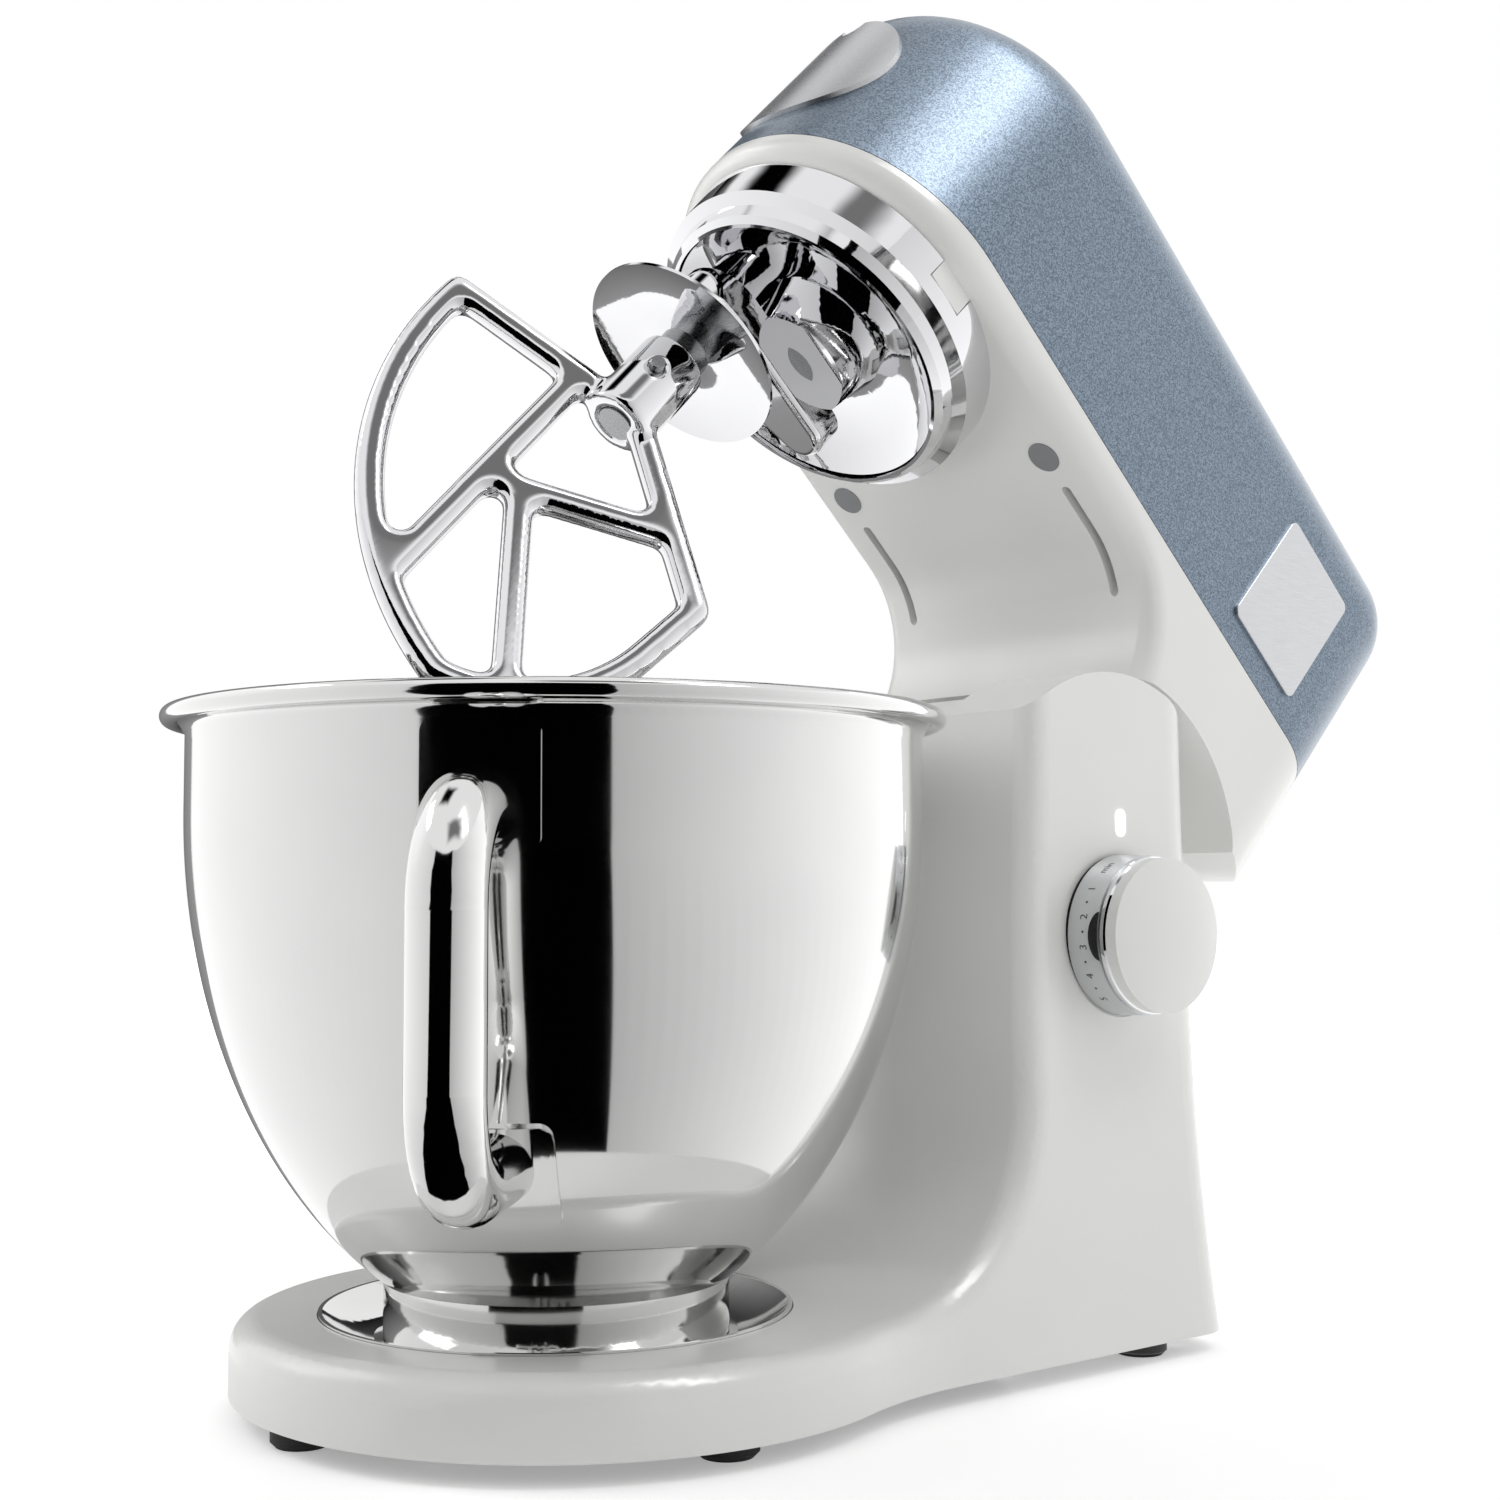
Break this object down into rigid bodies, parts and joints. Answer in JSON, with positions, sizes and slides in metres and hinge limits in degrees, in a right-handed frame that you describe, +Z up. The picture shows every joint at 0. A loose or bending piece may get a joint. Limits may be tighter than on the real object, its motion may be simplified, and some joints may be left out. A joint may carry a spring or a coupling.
{
  "type": "stand mixer",
  "caption": "Tilt-head stand mixer with a raised head, planetary drive and flat beater above a handled steel bowl on a round base.",
  "frame": {"origin": "centre of the bounding box in plan, on the counter under the feet", "axes": "+Z up, the nose and bowl towards -Y, the speed knob on +X"},
  "size_m": [0.226, 0.4453, 0.4378],
  "materials": {
    "body_paint": "satin white paint on an aluminium die casting",
    "cover_paint": "blue-grey metallic paint on an aluminium shell",
    "polished_steel": "mirror-polished stainless steel",
    "chrome": "bright chrome plate",
    "silver_trim": "brushed silver trim",
    "dial_silver": "satin silver plastic",
    "white_plastic": "white plastic",
    "light_lens": "milky lens",
    "grey_plastic": "grey plastic",
    "dark_plastic": "dark plastic",
    "rubber": "dark rubber",
    "steel": "machined steel",
    "bronze": "sintered bronze",
    "board": "circuit board",
    "core_iron": "stacked iron sheet",
    "copper": "enamelled copper wire",
    "cast_metal": "raw casting",
    "gear_plastic": "moulded gear plastic"
  },
  "bodies": {
    "base": {"base_casting": "body_paint", "base_plate": "dark_plastic", "feet": "rubber", "base_screws": "steel", "bowl_seat": "polished_steel", "hinge_pin": "steel", "control_board": "board", "speed_sensor": "dark_plastic", "indicator_light": "light_lens", "cord_gland": "rubber"},
    "knob": {"dial_ring": "dial_silver", "knob_trim": "chrome", "knob_cap": "white_plastic", "knob_spindle": "steel"},
    "release": {"release_lever": "silver_trim", "lever_shaft": "steel", "latch_pawl": "steel"},
    "bowl_set": {"bowl": "polished_steel", "bowl_foot": "polished_steel", "bowl_handle": "polished_steel", "handle_pads": "polished_steel"},
    "head": {"head_casting": "body_paint", "hinge_bushes": "bronze", "screw_plugs": "grey_plastic", "head_cover": "cover_paint", "badge_plate": "silver_trim", "hub_ring": "chrome", "ring_gear": "steel", "bearing_housing": "cast_metal", "housing_screws": "steel", "bearings": "steel", "motor_can": "steel", "stator_core": "core_iron", "stator_coils": "copper", "motor_brackets": "cast_metal", "outlet_bracket": "cast_metal"},
    "outlet_cap": {"outlet_cover": "silver_trim"},
    "carrier": {"planet_carrier": "chrome", "carrier_shaft": "steel", "crown_gear": "steel", "tool_bush": "bronze"},
    "tool": {"tool_shaft": "steel", "planet_pinion": "steel", "drip_disc": "chrome", "drive_pin": "steel", "beater": "chrome"},
    "rotor": {"motor_shaft": "steel", "rotor_core": "core_iron", "motor_pinion": "steel", "cooling_fan": "dark_plastic"},
    "outlet_drive": {"outlet_spindle": "steel", "outlet_pinion": "steel"}
  },
  "joints": [
    {"name": "speed_turn", "type": "hinge", "parent": "base", "child": "knob", "pos_m": [0.086, 0.054, 0.131], "axis": [-1, 0, 0], "range_deg": [-20, 150]},
    {"name": "release_press", "type": "hinge", "parent": "base", "child": "release", "pos_m": [0, 0.032, 0.108], "axis": [1, 0, 0], "range_deg": [-18, 0], "stiffness_Nm_per_rad": 0.6, "springref_deg": 20.05},
    {"name": "bowl_twist", "type": "hinge", "parent": "base", "child": "bowl_set", "pos_m": [0, -0.109, 0.0265], "axis": [0, 0, 1], "range_deg": [0, 34]},
    {"name": "head_tilt", "type": "hinge", "parent": "base", "child": "head", "pos_m": [0, 0.054, 0.1565], "axis": [1, 0, 0], "range_deg": [0, 44.6]},
    {"name": "outlet_pull", "type": "slide", "parent": "head", "child": "outlet_cap", "axis": [0, -0.712, 0.7022], "range_m": [0, 0.03]},
    {"name": "carrier_spin", "type": "hinge", "parent": "head", "child": "carrier", "pos_m": [0, -0.00132, 0.33254], "axis": [0, 0.7022, 0.712], "continuous": true},
    {"name": "tool_spin", "type": "hinge", "parent": "carrier", "child": "tool", "pos_m": [-0.012, -0.01981, 0.35077], "axis": [0, 0.7022, 0.712], "continuous": true},
    {"name": "rotor_spin", "type": "hinge", "parent": "head", "child": "rotor", "pos_m": [0, 0.10358, 0.2965], "axis": [0, 0.712, -0.7022], "continuous": true},
    {"name": "outlet_spin", "type": "hinge", "parent": "head", "child": "outlet_drive", "pos_m": [0, 0.0039, 0.39481], "axis": [0, 0.712, -0.7022], "continuous": true}
  ],
  "couplings": [
    {"joint": "tool_spin", "follows": "carrier_spin", "ratio": -3},
    {"joint": "rotor_spin", "follows": "carrier_spin", "ratio": 3.3},
    {"joint": "outlet_spin", "follows": "carrier_spin", "ratio": -3.3}
  ]
}
